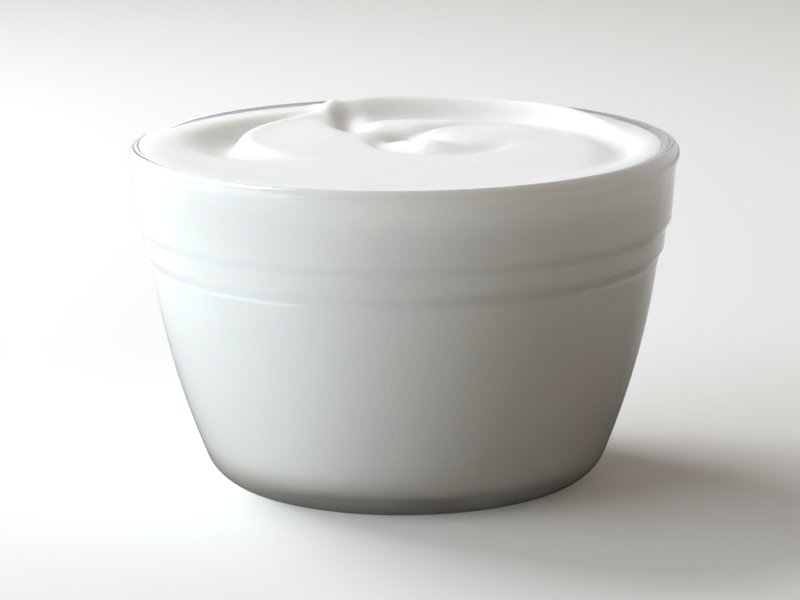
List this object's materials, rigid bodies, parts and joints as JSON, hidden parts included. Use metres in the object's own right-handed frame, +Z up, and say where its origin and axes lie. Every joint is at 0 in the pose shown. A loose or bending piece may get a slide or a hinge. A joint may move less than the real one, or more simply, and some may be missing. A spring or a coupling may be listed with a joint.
{
  "type": "bowl of yogurt",
  "caption": "Round clear pressed-glass bowl with a plain rolled rim and stepped bands, filled to the brim with white yogurt swirled on top.",
  "frame": {"origin": "centre of the foot ring, on the surface that the bowl stands on", "axes": "+Z up along the bowl's axis; the swirl's peak lies towards +Y and a little to -X"},
  "size_m": [0.11, 0.11, 0.0698],
  "materials": {
    "bowl_glass": "clear, polished pressed glass",
    "yogurt": "thick white yogurt, smooth and moist"
  },
  "bodies": {
    "root": {"glass_bowl": "bowl_glass", "yogurt": "yogurt"}
  },
  "joints": []
}
